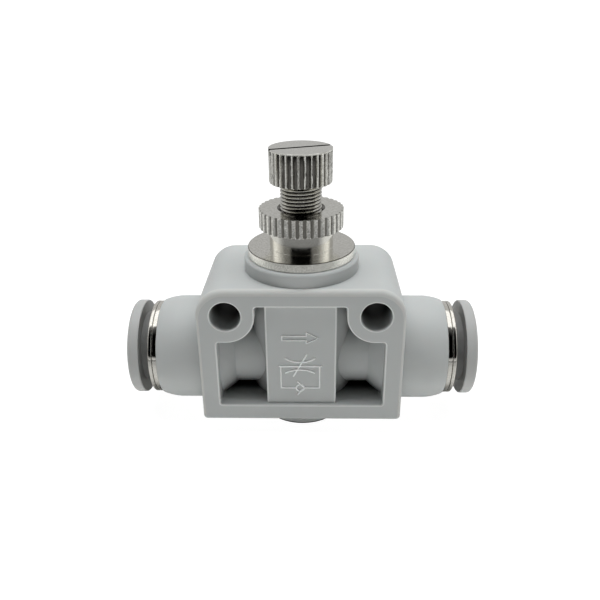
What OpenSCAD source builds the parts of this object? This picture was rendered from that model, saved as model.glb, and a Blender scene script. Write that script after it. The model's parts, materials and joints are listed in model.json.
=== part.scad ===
// In-line flow control valve with push-in tube connections.
// X runs along the tubes, Z up through the needle. The origin is the centre of the round foot's
// flat underside. Air is metered from left to right and passes the lip seal freely the other way.
// The needle stands part open, with the lock nut tight on the guide.

/* [Tube ports] */
// Overall length over both release collars
valve_l = 51; // [50:0.5:58]
// Outside diameter of the tube
tube_d = 8; // [7:0.5:8.5]
// Radial clearance round the tube in its socket and collar
tube_clear = 0.1; // [0.06:0.01:0.2]
// Length of the socket that guides the tube's end
socket_l = 4; // [3:0.25:5]
// Radial depth of the tube seal
seal_depth = 1.8; // [1.6:0.1:1.9]
// Length of the tube seal's pocket
seal_pocket_l = 3; // [2.6:0.1:3.2]
// Length of the pocket that holds the metal rings
ring_pocket_l = 5.21; // [5.1:0.05:5.6]
// Wall of the barrel at its mouth
barrel_wall = 0.75; // [0.6:0.05:1]
// How far the barrel's end rounds in
barrel_drop = 0.62; // [0.3:0.05:0.8]
// Length of the rounded end of the barrel
barrel_round_l = 3; // [2:0.25:4]

/* [Metal rings and claw] */
// Wall of the outer ring's sleeve
outer_ring_wall = 0.4; // [0.3:0.05:0.5]
// Thickness of the outer ring's flange
outer_flange_t = 0.69; // [0.5:0.05:0.9]
// Wall of the guide ring's sleeve
guide_ring_wall = 0.72; // [0.5:0.05:0.9]
// Thickness of the guide ring's flange
guide_flange_t = 0.63; // [0.5:0.05:0.9]
// Radial width of both flanges past the ring pocket
flange_lip = 0.56; // [0.4:0.05:0.7]
// Thickness of the claw's spring sheet
claw_t = 0.3; // [0.2:0.05:0.4]
// Number of fingers on the claw
claw_fingers = 10; // [6:1:14]
// Width of the slots between the claw's fingers
claw_slot_w = 0.5; // [0.3:0.05:0.8]
// Axial lean of the claw's fingers from root to tip
claw_lean = 0.85; // [0.6:0.05:1]
// Thickness of the spacer behind the tube seal at its rim
spacer_t = 1.4; // [1.3:0.05:1.6]

/* [Release collar] */
// Thickness of the collar's disc
disc_t = 1.63; // [1.2:0.05:2.2]
// Height of the disc over the collar's neck
disc_rise = 1.935; // [1.5:0.05:2.2]
// Radius of the disc's edges
disc_edge = 0.5; // [0.2:0.05:0.7]
// Wall of the collar's neck
collar_wall = 1.1; // [0.9:0.05:1.2]
// Push-in travel of the collar
collar_travel = 1.2; // [0.8:0.05:1.25]
// Gap left between disc and rings when pushed in
collar_stop_gap = 0.14; // [0.1:0.02:0.3]
// Height of the snap bead over the neck
bead_rise = 0.3; // [0.15:0.05:0.4]
// Width of the snap bead's land
bead_w = 0.25; // [0.2:0.05:0.35]
// Length of the collar's cone nose
nose_l = 0.5; // [0.4:0.05:0.6]

/* [Body block] */
// Width of the block
body_w = 29; // [28:0.5:31]
// Depth of the block
body_d = 18; // [17.5:0.25:20]
// Height of the block
body_h = 20.95; // [20.5:0.25:23]
// Radius of the two upper corners
corner_r = 4; // [2:0.25:4]
// Radius of the two lower corners
lower_corner_r = 0.6; // [0.3:0.1:1.5]
// Radius of the long front and rear edges
edge_r = 0.7; // [0.3:0.1:1]
// Height of the foot under the block
foot_h = 2.7; // [2.3:0.1:3.5]
// Height of the tube axis above the block's underside
port_h = 7.45; // [7.3:0.05:8.5]
// Wall at each side of the front and rear windows
side_wall = 2.66; // [2:0.1:3]
// Height of the bar under the windows
lower_bar = 2.55; // [2:0.1:3]
// Height of the bar over the windows
upper_bar = 2.5; // [2:0.1:3]
// Thickness of the middle web between the windows
web_t = 2; // [1.2:0.1:3]
// Width of the flat-faced rib in the middle of each window
rib_w = 10.04; // [8:0.2:12]
// Depth of the rib's face behind the block's face
rib_recess = 0.6; // [0.2:0.05:1]
// Wall of the round core round the tube sockets
core_wall = 1.25; // [1:0.05:1.5]
// Rise of the flare where the core meets the side wall
flare_rise = 2.05; // [1:0.05:2.1]
// Length of the flare
flare_l = 2; // [1:0.1:2.4]
// Wall of the upright column round the needle guide
column_wall = 1.4; // [1.2:0.05:1.7]
// How far the boss under the guide's flange stands out past the column
boss_rise = 0.69; // [0.4:0.01:1.2]
// Height of that boss
boss_h = 2.01; // [1.5:0.05:3]
// Radius of the boss's upper edge
boss_edge = 0.45; // [0.2:0.05:0.8]

/* [Mounting holes] */
// Diameter of the two mounting holes
hole_d = 4.3; // [3.4:0.1:4.6]
// Wall round each mounting hole
hole_wall = 1.9; // [1.5:0.05:2.1]
// Distance from a hole's axis to the block's side
hole_side = 4.08; // [4:0.02:4.4]
// Distance from a hole's axis to the block's top
hole_top = 3.95; // [3.9:0.02:4.4]

/* [Air passages] */
// Diameter of the bore for the needle guide
guide_bore_d = 12.4; // [12:0.1:12.6]
// Diameter of the land that the check seal's lip meets
land_d = 10; // [9.8:0.1:10.6]
// Height of that land
land_h = 1; // [0.8:0.05:1.1]
// How far the land's lower edge lies under the tube axis
land_drop = 0.45; // [0.4:0.05:0.5]
// Diameter of the chamber under the land
chamber_d = 9.2; // [8.6:0.1:9.6]
// Thickness of the floor under the chamber
floor_t = 1.6; // [1.2:0.1:2.4]
// Wall of the foot round the chamber
foot_wall = 1.67; // [1.2:0.05:2.2]
// Diameter of the two cross passages
passage_d = 3.4; // [3:0.1:3.4]
// Vertical offset of both passages from the tube axis
passage_offset = 2.3; // [2.2:0.02:2.34]

/* [Needle guide] */
// Thickness of the guide's flange
flange_t = 1.29; // [1:0.05:1.8]
// Width of the boss's rim left clear outside the flange
flange_inset = 0.59; // [0.2:0.05:1]
// Chamfer on the flange's upper edge
flange_chamfer = 0.3; // [0.1:0.05:0.5]
// Diameter of the neck above the flange
neck_d = 9.15; // [8:0.05:10]
// Height of the neck
neck_h = 2.88; // [2:0.1:4]
// Length of the guide's thick part inside the body
plug_l = 8.1; // [7.8:0.1:8.6]
// Length of the threaded bore from the top of the neck down
guide_thread_l = 10.53; // [10.4:0.05:11]
// Height of the guide's seal over the lower end of its thick part
guide_seal_up = 2.6; // [1.6:0.1:3]
// Plain length between the flange and the first barb
barb_lead = 0.9; // [0.5:0.1:1.2]
// Number of barbs that hold the guide in the body
barb_count = 3; // [2:1:4]
// Height of one barb
barb_h = 0.9; // [0.7:0.05:1]
// Depth of a barb
barb_depth = 0.28; // [0.15:0.01:0.4]
// Diameter of the guide's lower tube
tube_part_d = 7.4; // [7:0.1:8]
// Diameter of the smooth bore that the needle's ring seals in
smooth_bore_d = 4.9; // [4.6:0.05:5.1]
// Diameter of the metering orifice
orifice_d = 3.3; // [2.8:0.1:3.5]
// How far the orifice wall's top stands over the land's lower edge
orifice_up = 0.2; // [0.1:0.05:0.3]
// Thickness of the orifice wall
orifice_t = 0.8; // [0.6:0.05:1]
// Diameter of the four cross holes
cross_hole_d = 2; // [1.4:0.1:2]
// Height of the cross holes' lower edge over the check seal
cross_hole_up = 0.25; // [0.15:0.05:0.3]

/* [Seals] */
// Section diameter of the ring that seals the guide
guide_ring_section = 1.14; // [0.9:0.02:1.3]
// Section diameter of the ring that seals the needle
needle_ring_section = 0.93; // [0.8:0.01:1]
// Height of the check seal's groove
check_groove_h = 1.45; // [1.3:0.05:1.5]
// Depth of the check seal's groove
check_groove_depth = 0.5; // [0.4:0.05:0.6]
// Thickness of the check seal's lip
lip_t = 0.3; // [0.2:0.05:0.4]
// Thickness of the tube seal's two lips
cup_lip_t = 0.45; // [0.3:0.05:0.6]
// How far the tube seal's rear half stands back from the tube
cup_back = 0.36; // [0.2:0.02:0.5]

/* [Needle, nut and knob] */
// Outside diameter of the needle's thread
thread_d = 5.86; // [5.6:0.02:6]
// Pitch of that thread, the needle's lift for one turn
thread_pitch = 0.5; // [0.35:0.05:0.5]
// Turns by which the needle stands open
open_turns = 6; // [2:0.5:6]
// Turns that are left above that
turns_left = 3; // [1:0.5:3]
// Diameter of the needle's point
point_d = 0.7; // [0.4:0.1:1.2]
// Diameter at the top of the needle's taper
taper_d = 3.5; // [3.4:0.05:3.8]
// Length of the needle's taper
taper_l = 5.2; // [4:0.1:6]
// Diameter of the plain neck under the thread
waist_d = 4.2; // [3.6:0.1:4.4]
// Diameter of the lock nut
nut_d = 12.02; // [10:0.1:14]
// Height of the lock nut
nut_h = 2.66; // [2:0.1:4]
// Countersink on the lock nut's thread
nut_sink = 0.5; // [0.3:0.05:0.7]
// Number of ridges round the lock nut
nut_ridges = 36; // [24:1:48]
// Depth of the lock nut's grooves
nut_groove = 0.25; // [0.1:0.05:0.4]
// Share of the pitch that the top of a nut ridge takes
nut_crest = 0.62; // [0.3:0.02:0.7]
// Share of the pitch that the floor of a nut groove takes
nut_floor = 0.2; // [0.1:0.02:0.3]
// Gap between the lock nut and the knob when the needle is closed
knob_clear = 0.67; // [0.3:0.05:2]
// Diameter of the knob
knob_d = 8.82; // [8:0.1:12]
// Height of the knob
knob_h = 4.74; // [4:0.1:7]
// Number of ridges round the knob
knob_ridges = 31; // [20:1:40]
// Depth of the knob's grooves
knob_groove = 0.35; // [0.2:0.05:0.5]
// Share of the pitch that the top of a knob ridge takes
knob_crest = 0.3; // [0.2:0.02:0.5]
// Share of the pitch that the floor of a knob groove takes
knob_floor = 0.4; // [0.1:0.02:0.45]
// Chamfer on the edges of the knob and the nut
rim_chamfer = 0.3; // [0.1:0.05:0.4]
// Width of the screwdriver slot
slot_w = 1; // [0.6:0.1:1.6]
// Depth of the screwdriver slot
slot_depth = 0.8; // [0.4:0.1:1]
// Turn of the slot from the tube axis
slot_turn = 18; // [0:1:180]
// Diameter of the needle's end inside the knob
spigot_d = 4.4; // [3:0.1:5]
// Thickness of the knob under its slot
knob_web = 0.7; // [0.4:0.1:1]

/* [Fits] */
// Radial gap of a piece that is pressed or seated in another
seat_gap = 0.03; // [0.01:0.01:0.05]
// Radial gap between a thread and its bore
thread_gap = 0.05; // [0.02:0.01:0.08]
// Radial gap of a piece that slides or turns
run_gap = 0.08; // [0.04:0.01:0.1]

/* [Hidden] */
$fn = 96;
cut = 1;               // how far a cut runs past the face it opens
plastic_grey = [0.76, 0.78, 0.79];
collar_grey = [0.68, 0.68, 0.67];
nickel = [0.72, 0.70, 0.66];
spring_steel = [0.62, 0.62, 0.60];
rubber_black = [0.07, 0.07, 0.08];

// heights of the outside, from the foot up
body_top = foot_h + body_h;
boss_top = body_top + boss_h;
flange_top = boss_top + flange_t;
neck_top = flange_top + neck_h;
nut_top = neck_top + nut_h;
needle_lift = open_turns * thread_pitch;
lift_left = turns_left * thread_pitch;
knob_bottom = nut_top + knob_clear + needle_lift;
knob_top = knob_bottom + knob_h;
port_z = foot_h + port_h;

// the windows and the holes over them
window_w = body_w - 2 * side_wall;
window_bottom = foot_h + lower_bar;
window_top = body_top - upper_bar;
hole_x = body_w / 2 - hole_side;
hole_z = body_top - hole_top;
hole_boss_r = hole_d / 2 + hole_wall;

// radii round the tube, from the inside out
socket_r = tube_d / 2 + tube_clear;
neck_r = socket_r + collar_wall;
disc_r = neck_r + disc_rise;
guide_ring_r_in = neck_r + run_gap;
guide_ring_r = guide_ring_r_in + guide_ring_wall;
outer_ring_r_in = guide_ring_r + seat_gap;
outer_ring_r = outer_ring_r_in + outer_ring_wall;
ring_pocket_r = outer_ring_r + seat_gap;
flange_ring_r = ring_pocket_r + flange_lip;
barrel_end_r = ring_pocket_r + barrel_wall;
barrel_r = barrel_end_r + barrel_drop;
seal_pocket_r = socket_r + seal_depth;
core_r = socket_r + core_wall;

// distances from the middle of the valve, along a port
disc_in = valve_l / 2 - disc_t;
rings_end = disc_in - collar_travel - collar_stop_gap;
flange_seam = rings_end - guide_flange_t;
barrel_end = flange_seam - outer_flange_t;
ring_pocket = barrel_end - ring_pocket_l;
seal_pocket = ring_pocket - seal_pocket_l;
tube_stop = seal_pocket - socket_l;
claw_root = ring_pocket + spacer_t;
outer_ring_in = claw_root + claw_t;

// the collar's nose stops just short of the claw's fingers when it is pushed in
finger_tip_r = socket_r + seat_gap;
finger_root_r = seal_pocket_r - seat_gap;
nose_clear = 0.1;       // room between the pushed collar and the claw, and behind the bead
nose_end = outer_ring_in + collar_travel - claw_lean * collar_wall / seal_depth + nose_clear;
bead_r = neck_r + bead_rise;
bead_out = nose_end + nose_l + bead_w;
guide_ring_in = bead_out + nose_clear;

// the guide's bore and what it opens into
guide_bore_r = guide_bore_d / 2;
column_r = guide_bore_r + column_wall;
land_r = land_d / 2;
land_bottom = port_z - land_drop;
land_top = land_bottom + land_h;
chamber_r = chamber_d / 2;
foot_r = chamber_r + foot_wall;
passage_r = passage_d / 2;

ring_room = 1.35;      // height of a seal ring's groove, in sections of the ring
end_gap = 0.12;        // room left at the end of a moving piece's travel
groove_wall = 0.55;    // wall on each side of the needle's groove

// the guide and the seals it carries
boss_r = column_r + boss_rise;
flange_r = boss_r - flange_inset;
plug_r = guide_bore_r - seat_gap;
plug_bottom = boss_top - plug_l;
lower_r = tube_part_d / 2;
orifice_top = land_bottom + orifice_up;
guide_bottom = orifice_top - orifice_t;
check_groove_top = orifice_top + check_groove_h;
check_groove_r = lower_r - check_groove_depth;
smooth_r = smooth_bore_d / 2;
smooth_top = neck_top - guide_thread_l;
thread_r = thread_d / 2;
thread_bore_r = thread_r + thread_gap;
cross_hole_z = check_groove_top + cross_hole_up + cross_hole_d / 2;
guide_groove_z = plug_bottom + guide_seal_up;
guide_groove_h = ring_room * guide_ring_section;
guide_groove_r = guide_bore_r - guide_ring_section - seat_gap / 2;
barb_bottom = boss_top - barb_lead - barb_count * barb_h;

// the needle, at its opening above the closed position
taper_r = taper_d / 2;
point_r = point_d / 2;
closed_gap = 0.05;     // radial gap left where the closed needle meets the orifice
closed_drop = (taper_r - orifice_d / 2 + closed_gap) * taper_l / (taper_r - point_r);
taper_top = orifice_top + closed_drop + needle_lift;
ring_land_r = smooth_r - run_gap;
needle_ring_z = smooth_top - lift_left - needle_ring_section / 2 - end_gap;
needle_groove_h = ring_room * needle_ring_section;
needle_groove_r = smooth_r - needle_ring_section - seat_gap / 2;
ring_land_h = needle_groove_h + 2 * groove_wall;
thread_bottom = smooth_top + needle_lift + end_gap;
spigot_top = knob_top - slot_depth - knob_web;

// ---- shared shapes ----

// ring between two radii, standing on z0
module ring(r_out, r_in, z0, z1) {
    difference() {
        translate([0, 0, z0]) cylinder(r = r_out, h = z1 - z0);
        translate([0, 0, z0 - cut]) cylinder(r = r_in, h = z1 - z0 + 2 * cut);
    }
}

// solid disc whose upper edge is chamfered
module chamfered_disc(r, z0, z1, chamfer) {
    translate([0, 0, z0]) cylinder(r = r, h = z1 - z0 - chamfer);
    translate([0, 0, z1 - chamfer]) cylinder(r1 = r, r2 = r - chamfer, h = chamfer);
}

// half section with round outer corners, for a revolve
module rounded_half(r, z0, z1, lower_r, upper_r) {
    h = z1 - z0;
    translate([0, z0]) {
        translate([0, lower_r]) square([r, h - lower_r - upper_r]);
        square([r - lower_r, h / 2]);
        translate([0, h / 3]) square([r - upper_r, 2 * h / 3]);
        if (lower_r > 0) translate([r - lower_r, lower_r]) circle(lower_r);
        if (upper_r > 0) translate([r - upper_r, h - upper_r]) circle(upper_r);
    }
}

// upright rectangle with its own radius for the lower and the upper corners
module rounded_plate(w, h, lower_r, upper_r) {
    translate([-w / 2, lower_r]) square([w, h - lower_r - upper_r]);
    translate([lower_r - w / 2, 0]) square([w - 2 * lower_r, h / 2]);
    translate([upper_r - w / 2, h / 3]) square([w - 2 * upper_r, 2 * h / 3]);
    for (side = [-1, 1]) {
        translate([side * (w / 2 - lower_r), lower_r]) circle(lower_r);
        translate([side * (w / 2 - upper_r), h - upper_r]) circle(upper_r);
    }
}

// straight knurl: ridges with sloping flanks, as a flat outline
// crest and root are the shares of the pitch that a ridge's top and a groove's floor take
module knurl_outline(r, depth, ridges, crest, root) {
    step = 360 / ridges;
    corners = [[-crest / 2, r], [crest / 2, r],
               [0.5 - root / 2, r - depth], [0.5 + root / 2, r - depth]];
    polygon([for (i = [0 : ridges - 1], corner = corners)
        corner[1] * [cos((i + corner[0]) * step), sin((i + corner[0]) * step)]]);
}

// stands what is drawn along Z out of the left (-1) or right (1) port
module along_port(side) {
    translate([0, 0, port_z]) mirror([side < 0 ? 1 : 0, 0, 0]) rotate([0, 90, 0]) children();
}

// ---- body ----

module window_outline() {
    difference() {
        translate([-window_w / 2, window_bottom])
            square([window_w, window_top - window_bottom]);
        for (side = [-1, 1]) {
            mirror([side < 0 ? 1 : 0, 0]) translate([hole_x, hole_z]) {
                circle(hole_boss_r);
                translate([-hole_boss_r, 0]) square([hole_boss_r + side_wall + hole_side, body_h]);
                translate([0, -hole_boss_r]) square([side_wall + hole_side, body_h]);
            }
        }
    }
}

module block() {
    difference() {
        intersection() {
            translate([0, 0, foot_h]) rotate([90, 0, 0])
                linear_extrude(body_d, center = true)
                    rounded_plate(body_w, body_h, lower_corner_r, corner_r);
            translate([0, 0, foot_h]) rotate([90, 0, 90])
                linear_extrude(body_w, center = true)
                    rounded_plate(body_d, body_h, edge_r, edge_r);
        }
        for (face = [0, 1]) {
            mirror([0, face, 0]) translate([0, -web_t / 2, 0]) rotate([90, 0, 0])
                linear_extrude(body_d) window_outline();
        }
    }
}

module rib() {
    rib_d = body_d - 2 * rib_recess;
    translate([-rib_w / 2, -rib_d / 2, window_bottom - lower_bar / 2])
        cube([rib_w, rib_d, window_top - window_bottom + (lower_bar + upper_bar) / 2]);
}

module core() {
    translate([-window_w / 2 - cut, 0, port_z]) rotate([0, 90, 0])
        cylinder(r = core_r, h = window_w + 2 * cut);
    for (side = [-1, 1]) along_port(side) {
        translate([0, 0, window_w / 2 - flare_l])
            cylinder(r1 = core_r, r2 = core_r + flare_rise, h = flare_l);
    }
}

module barrel(side) {
    crown_r = (pow(barrel_round_l, 2) + pow(barrel_drop, 2)) / (2 * barrel_drop);
    along_port(side) rotate_extrude() {
        intersection() {
            translate([0, body_w / 2 - side_wall / 2])
                square([barrel_r, barrel_end - body_w / 2 + side_wall / 2]);
            union() {
                square([barrel_r, barrel_end - barrel_round_l]);
                translate([barrel_r - crown_r, barrel_end - barrel_round_l]) circle(crown_r, $fn = 360);
            }
        }
    }
}

module port_bore(side) {
    along_port(side) {
        translate([0, 0, tube_stop]) cylinder(r = socket_r, h = socket_l + cut);
        translate([0, 0, seal_pocket]) cylinder(r = seal_pocket_r, h = seal_pocket_l + cut);
        translate([0, 0, ring_pocket]) cylinder(r = ring_pocket_r, h = ring_pocket_l + cut);
    }
}

// the left passage meets the chamber under the land, the right one the guide's bore over it
module cross_passage(side) {
    reach = side < 0 ? chamber_r - passage_r / 2 : guide_bore_r - passage_r / 2;
    translate([0, 0, side * passage_offset]) along_port(side)
        translate([0, 0, reach]) cylinder(r = passage_r, h = tube_stop - reach + cut / 2);
}

module body() {
    color(plastic_grey) difference() {
        union() {
            block();
            rib();
            core();
            for (side = [-1, 1]) barrel(side);
            cylinder(r = foot_r, h = foot_h + lower_bar / 2);
            translate([0, 0, window_bottom - lower_bar / 2])
                cylinder(r = column_r, h = window_top - window_bottom + (lower_bar + upper_bar) / 2);
            rotate_extrude() rounded_half(boss_r, body_top - upper_bar / 2, boss_top, 0, boss_edge);
        }
        translate([0, 0, land_top]) cylinder(r = guide_bore_r, h = boss_top);
        translate([0, 0, land_bottom - cut]) cylinder(r = land_r, h = land_h + 2 * cut);
        translate([0, 0, floor_t]) cylinder(r = chamber_r, h = land_bottom - floor_t);
        for (side = [-1, 1]) {
            port_bore(side);
            cross_passage(side);
            translate([side * hole_x, 0, hole_z]) rotate([90, 0, 0])
                cylinder(d = hole_d, h = body_d + 2 * cut, center = true);
        }
    }
}

// ---- needle guide and its seals ----

module needle_guide() {
    color(nickel) difference() {
        union() {
            chamfered_disc(flange_r, boss_top, flange_top, flange_chamfer);
            translate([0, 0, flange_top - cut]) cylinder(d = neck_d, h = neck_h + cut);
            translate([0, 0, plug_bottom]) cylinder(r = plug_r, h = barb_bottom - plug_bottom);
            for (i = [0 : barb_count - 1]) {
                translate([0, 0, barb_bottom + i * barb_h])
                    cylinder(r1 = plug_r - barb_depth, r2 = plug_r, h = barb_h);
            }
            translate([0, 0, barb_bottom]) cylinder(r = plug_r - barb_depth, h = boss_top - barb_bottom);
            translate([0, 0, guide_bottom]) cylinder(r = lower_r, h = plug_bottom - guide_bottom + cut);
        }
        ring(plug_r + cut, guide_groove_r, guide_groove_z - guide_groove_h / 2,
             guide_groove_z + guide_groove_h / 2);
        ring(lower_r + cut, check_groove_r, orifice_top, check_groove_top);
        translate([0, 0, guide_bottom - cut]) cylinder(d = orifice_d, h = orifice_t + 2 * cut);
        translate([0, 0, orifice_top]) cylinder(r = smooth_r, h = smooth_top - orifice_top + cut);
        translate([0, 0, smooth_top]) cylinder(r = thread_bore_r, h = neck_top);
        translate([0, 0, cross_hole_z]) for (turn = [0, 90]) {
            rotate([0, 90, turn]) cylinder(d = cross_hole_d, h = 2 * plug_r, center = true);
        }
    }
}

module guide_o_ring() {
    color(rubber_black) translate([0, 0, guide_groove_z]) rotate_extrude()
        translate([guide_bore_r - guide_ring_section / 2 - seat_gap / 4, 0])
            circle(d = guide_ring_section);
}

// its lip opens downwards, so it shuts against air from the left port
module check_seal() {
    heel_r = lower_r + check_groove_depth;
    heel_bottom = (orifice_top + check_groove_top) / 2;
    seal_r = check_groove_r + seat_gap;
    lip_r = land_r - seat_gap;
    color(rubber_black) rotate_extrude() polygon([
        [seal_r, orifice_top + seat_gap],
        [seal_r, check_groove_top - seat_gap],
        [heel_r, check_groove_top - seat_gap],
        [lip_r, orifice_top + lip_t],
        [lip_r - lip_t, orifice_top - lip_t / 2],
        [seal_r + 2 * lip_t, heel_bottom],
        [seal_r + lip_t, orifice_top + seat_gap],
    ]);
}

// ---- needle, knob and nut ----

module needle() {
    groove_bottom = needle_ring_z - needle_groove_h / 2;
    land_low = needle_ring_z - ring_land_h / 2;
    color(nickel) difference() {
        union() {
            translate([0, 0, taper_top - taper_l])
                cylinder(r1 = point_r, r2 = taper_r, h = taper_l);
            translate([0, 0, taper_top]) cylinder(r = taper_r, h = land_low - taper_top + ring_land_h / 2);
            translate([0, 0, land_low]) cylinder(r = ring_land_r, h = ring_land_h);
            translate([0, 0, land_low]) cylinder(d = waist_d, h = thread_bottom - land_low + cut);
            translate([0, 0, thread_bottom]) cylinder(r = thread_r, h = knob_bottom - thread_bottom);
            translate([0, 0, knob_bottom - cut]) cylinder(d = spigot_d, h = spigot_top - knob_bottom + cut);
        }
        ring(ring_land_r + cut, needle_groove_r, groove_bottom, groove_bottom + needle_groove_h);
    }
}

module needle_o_ring() {
    color(rubber_black) translate([0, 0, needle_ring_z]) rotate_extrude()
        translate([smooth_r - needle_ring_section / 2 - seat_gap / 4, 0])
            circle(d = needle_ring_section);
}

// a knurled cylinder with both rims chamfered
module knurled(r, z0, z1, depth, ridges, crest, root) {
    intersection() {
        translate([0, 0, z0]) linear_extrude(z1 - z0) knurl_outline(r, depth, ridges, crest, root);
        rotate_extrude() polygon([
            [0, z0], [r - rim_chamfer, z0], [r + rim_chamfer, z0 + 2 * rim_chamfer],
            [r + rim_chamfer, z1 - 2 * rim_chamfer], [r - rim_chamfer, z1], [0, z1],
        ]);
    }
}

module adjusting_knob() {
    color(nickel) difference() {
        knurled(knob_d / 2, knob_bottom, knob_top, knob_groove, knob_ridges,
                knob_crest, knob_floor);
        translate([0, 0, knob_bottom - cut])
            cylinder(r = spigot_d / 2 + seat_gap, h = spigot_top - knob_bottom + cut + seat_gap);
        rotate([0, 0, slot_turn]) translate([-knob_d, -slot_w / 2, knob_top - slot_depth])
            cube([2 * knob_d, slot_w, slot_depth + cut]);
    }
}

module lock_nut() {
    color(nickel) difference() {
        knurled(nut_d / 2, neck_top, nut_top, nut_groove, nut_ridges, nut_crest, nut_floor);
        translate([0, 0, neck_top - cut]) cylinder(r = thread_bore_r, h = nut_h + 2 * cut);
        translate([0, 0, nut_top - nut_sink])
            cylinder(r1 = thread_bore_r, r2 = thread_bore_r + 2 * nut_sink, h = 2 * nut_sink);
    }
}

// ---- pieces of one tube port, left (-1) or right (1) ----

module release_collar(side) {
    color(collar_grey) along_port(side) difference() {
        union() {
            rotate_extrude() rounded_half(disc_r, disc_in, valve_l / 2, disc_edge, disc_edge);
            translate([0, 0, nose_end + nose_l]) {
                cylinder(r = bead_r, h = bead_w);
                cylinder(r = neck_r, h = disc_in + disc_t / 2 - nose_end - nose_l);
            }
            translate([0, 0, nose_end]) cylinder(r1 = socket_r + collar_wall / 2, r2 = bead_r, h = nose_l);
        }
        translate([0, 0, nose_end - cut]) cylinder(r = socket_r, h = valve_l);
        translate([0, 0, valve_l / 2 - disc_edge])
            cylinder(r1 = socket_r, r2 = socket_r + 2 * disc_edge, h = 2 * disc_edge);
    }
}

module guide_ring(side) {
    color(nickel) along_port(side) {
        ring(guide_ring_r, guide_ring_r_in, guide_ring_in, flange_seam + guide_flange_t / 2);
        difference() {
            rotate_extrude()
                rounded_half(flange_ring_r, flange_seam, rings_end, 0, guide_flange_t / 2);
            translate([0, 0, flange_seam - cut])
                cylinder(r = guide_ring_r_in, h = guide_flange_t + 2 * cut);
        }
    }
}

module outer_ring(side) {
    color(nickel) along_port(side) {
        ring(outer_ring_r, outer_ring_r_in, outer_ring_in, barrel_end + outer_flange_t / 2);
        ring(flange_ring_r, outer_ring_r_in, barrel_end, flange_seam);
    }
}

// spring fingers lean inwards and bite the tube when it is pulled
module lock_claw(side) {
    color(spring_steel) along_port(side) difference() {
        rotate_extrude() polygon([
            [outer_ring_r, claw_root],
            [outer_ring_r, claw_root + claw_t],
            [finger_root_r, claw_root + claw_t],
            [finger_tip_r, claw_root + claw_t - claw_lean],
            [finger_tip_r, claw_root - claw_lean],
            [finger_root_r, claw_root],
        ]);
        for (i = [0 : claw_fingers - 1]) {
            rotate([0, 0, i * 360 / claw_fingers])
                translate([0, -claw_slot_w / 2, claw_root - claw_lean - cut])
                    cube([finger_root_r, claw_slot_w, claw_lean + claw_t + 2 * cut]);
        }
    }
}

// its cone leaves the fingers room to open
module seal_spacer(side) {
    color(rubber_black) along_port(side) difference() {
        translate([0, 0, ring_pocket]) cylinder(r = outer_ring_r, h = spacer_t);
        translate([0, 0, ring_pocket - cut]) cylinder(r = socket_r + run_gap, h = spacer_t + 2 * cut);
        translate([0, 0, ring_pocket + spacer_t - claw_lean - claw_t])
            cylinder(r1 = socket_r, r2 = outer_ring_r - claw_t, h = claw_lean + claw_t + seat_gap);
    }
}

// cup seal, open towards the valve so that the air presses its lips out
module tube_seal(side) {
    z0 = seal_pocket + seat_gap;
    z1 = ring_pocket - seat_gap;
    half = (z1 - z0) / 2;
    seal_in = socket_r - tube_clear / 2;
    seal_out = seal_pocket_r - seat_gap;
    mid = (seal_in + seal_out) / 2;
    color(rubber_black) along_port(side) rotate_extrude() polygon([
        [seal_in, z0],
        [seal_in, z0 + half / 2],
        [seal_in + cup_back, z0 + half],
        [seal_in + cup_back, z1],
        [seal_out, z1],
        [seal_out, z0],
        [seal_out - cup_lip_t, z0],
        [mid, z0 + half],
        [seal_in + cup_lip_t, z0],
    ]);
}

body();
needle_guide();
guide_o_ring();
check_seal();
needle();
needle_o_ring();
adjusting_knob();
lock_nut();
release_collar(-1);  // left_release_collar
guide_ring(-1);  // left_guide_ring
outer_ring(-1);  // left_outer_ring
lock_claw(-1);  // left_lock_claw
seal_spacer(-1);  // left_seal_spacer
tube_seal(-1);  // left_tube_seal
release_collar(1);  // right_release_collar
guide_ring(1);  // right_guide_ring
outer_ring(1);  // right_outer_ring
lock_claw(1);  // right_lock_claw
seal_spacer(1);  // right_seal_spacer
tube_seal(1);  // right_tube_seal
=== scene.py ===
import json
import math

import bmesh
import bpy
from mathutils import Matrix, Vector, noise

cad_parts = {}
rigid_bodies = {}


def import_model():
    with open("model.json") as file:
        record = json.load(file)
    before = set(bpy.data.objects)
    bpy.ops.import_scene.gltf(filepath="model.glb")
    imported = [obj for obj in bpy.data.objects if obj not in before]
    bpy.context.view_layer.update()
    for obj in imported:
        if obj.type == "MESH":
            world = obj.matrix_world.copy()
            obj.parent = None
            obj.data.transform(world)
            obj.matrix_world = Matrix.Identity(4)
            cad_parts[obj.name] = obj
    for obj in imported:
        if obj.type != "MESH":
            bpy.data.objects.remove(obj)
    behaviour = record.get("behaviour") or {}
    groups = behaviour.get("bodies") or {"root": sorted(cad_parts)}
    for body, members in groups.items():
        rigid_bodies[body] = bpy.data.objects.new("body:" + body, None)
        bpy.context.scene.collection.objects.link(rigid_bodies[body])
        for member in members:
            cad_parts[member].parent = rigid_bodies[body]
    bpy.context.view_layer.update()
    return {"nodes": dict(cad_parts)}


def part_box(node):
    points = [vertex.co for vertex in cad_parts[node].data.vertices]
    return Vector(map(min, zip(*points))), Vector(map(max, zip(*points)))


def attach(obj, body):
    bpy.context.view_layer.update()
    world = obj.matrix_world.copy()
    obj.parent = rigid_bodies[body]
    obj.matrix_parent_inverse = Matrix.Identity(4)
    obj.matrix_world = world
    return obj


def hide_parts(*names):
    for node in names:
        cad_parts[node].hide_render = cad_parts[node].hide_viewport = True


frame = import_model()
print("frame loaded")

mm = 0.001               # solids are drawn in millimetres and become metres when they are finished
near = 0.01              # millimetres that count as touching
everything = bpy.context.scene.collection.objects


def extent(node):        # a CAD node's lowest and highest corner, in millimetres
    low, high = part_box(node)
    return low / mm, high / mm


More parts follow.
